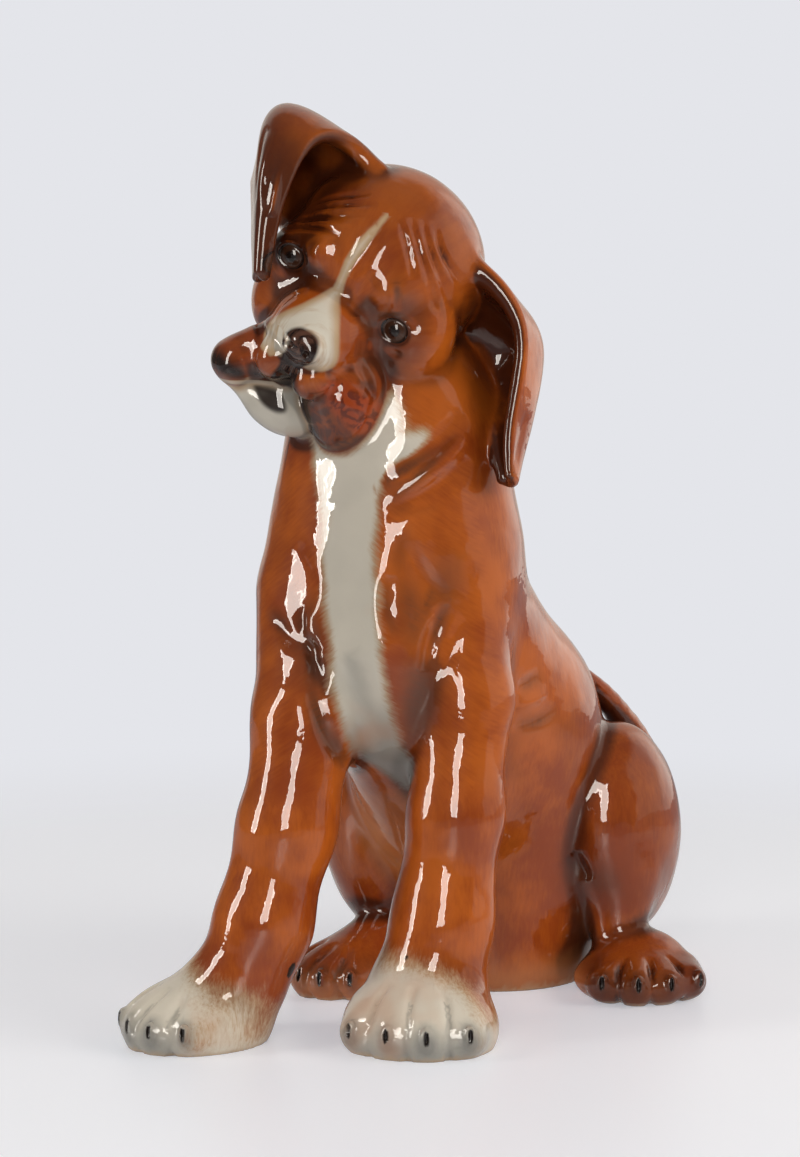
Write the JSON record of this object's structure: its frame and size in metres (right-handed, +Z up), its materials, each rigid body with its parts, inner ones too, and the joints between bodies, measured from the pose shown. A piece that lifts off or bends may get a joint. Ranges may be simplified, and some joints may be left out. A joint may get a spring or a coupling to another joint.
{
  "type": "ceramic puppy figurine",
  "caption": "Large glazed ceramic figurine of a sitting short-haired puppy, head tilted, with a raised folded ear and a hanging ear; stands on its paws and seat as a floor ornament.",
  "frame": {"origin": "On the ground, under the middle of the figure's outline seen from above", "axes": "+Z up; the puppy faces -Y; +X is its left side"},
  "size_m": [0.2708, 0.3484, 0.4985],
  "materials": {
    "glaze": "high-gloss glaze over brushed chestnut and white underglaze colours"
  },
  "bodies": {
    "root": {"puppy": "glaze"}
  },
  "joints": []
}
